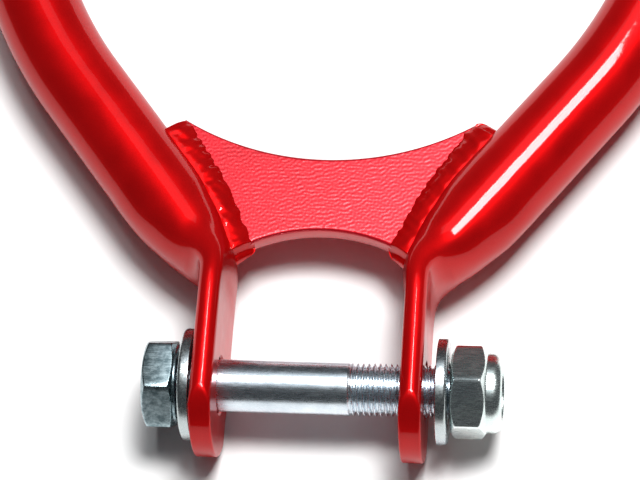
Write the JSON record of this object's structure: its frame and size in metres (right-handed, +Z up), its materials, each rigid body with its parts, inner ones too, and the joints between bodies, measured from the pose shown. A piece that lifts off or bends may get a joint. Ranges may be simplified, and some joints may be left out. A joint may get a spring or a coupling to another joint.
{
  "type": "control arm",
  "caption": "Tubular steel A-shaped suspension control arm with a gusseted clevis end, its cross bolt, and two chassis bushings.",
  "frame": {"origin": "bottom centre of the bounding box, on the ground that the ears and the bushing housings stand on", "axes": "+X along the clevis bolt from its head to its nut and along the chassis pivots, +Y from the clevis to the chassis bushings, +Z up"},
  "size_m": [0.262, 0.2802, 0.0381],
  "materials": {
    "red_paint": "glossy candy red powder coat",
    "weld_paint": "glossy red over rippled weld",
    "zinc_plate": "bright zinc plate",
    "polyurethane": "satin black polyurethane",
    "nylon": "natural white nylon"
  },
  "bodies": {
    "arm": {"left_leg_tube": "red_paint", "right_leg_tube": "red_paint", "gusset_plate": "red_paint", "left_gusset_weld_top": "weld_paint", "left_gusset_weld_bottom": "weld_paint", "left_bushing_housing": "red_paint", "left_housing_weld": "weld_paint", "left_bushing_outer_half": "polyurethane", "left_bushing_inner_half": "polyurethane", "right_gusset_weld_top": "weld_paint", "right_gusset_weld_bottom": "weld_paint", "right_bushing_housing": "red_paint", "right_housing_weld": "weld_paint", "right_bushing_outer_half": "polyurethane", "right_bushing_inner_half": "polyurethane"},
    "left_sleeve": {"left_inner_sleeve": "zinc_plate"},
    "right_sleeve": {"right_inner_sleeve": "zinc_plate"},
    "head_washer": {"head_washer": "zinc_plate"},
    "bolt": {"clevis_bolt": "zinc_plate"},
    "nut_washer": {"nut_washer": "zinc_plate"},
    "nut": {"lock_nut": "zinc_plate", "nylon_insert": "nylon"}
  },
  "joints": [
    {"name": "left_sleeve_turn", "type": "hinge", "parent": "arm", "child": "left_sleeve", "pos_m": [-0.10719, 0.12108, 0.01905], "axis": [1, 0, 0], "continuous": true},
    {"name": "right_sleeve_turn", "type": "hinge", "parent": "arm", "child": "right_sleeve", "pos_m": [0.10719, 0.12108, 0.01905], "axis": [1, 0, 0], "continuous": true},
    {"name": "bolt_float", "type": "slide", "parent": "arm", "child": "head_washer", "axis": [1, 0, 0], "range_m": [-0.00125, 0.0005]},
    {"name": "bolt_turn", "type": "hinge", "parent": "head_washer", "child": "bolt", "pos_m": [0, -0.12392, 0.015], "axis": [1, 0, 0], "continuous": true},
    {"name": "nut_travel", "type": "slide", "parent": "bolt", "child": "nut_washer", "axis": [-1, 0, 0], "range_m": [-0.00625, 0.00125]},
    {"name": "nut_turn", "type": "hinge", "parent": "nut_washer", "child": "nut", "pos_m": [0, -0.12392, 0.015], "axis": [-1, 0, 0], "range_deg": [-1800, 360]}
  ],
  "couplings": [
    {"joint": "nut_travel", "follows": "nut_turn", "m_per_rad": 0.00019894}
  ]
}
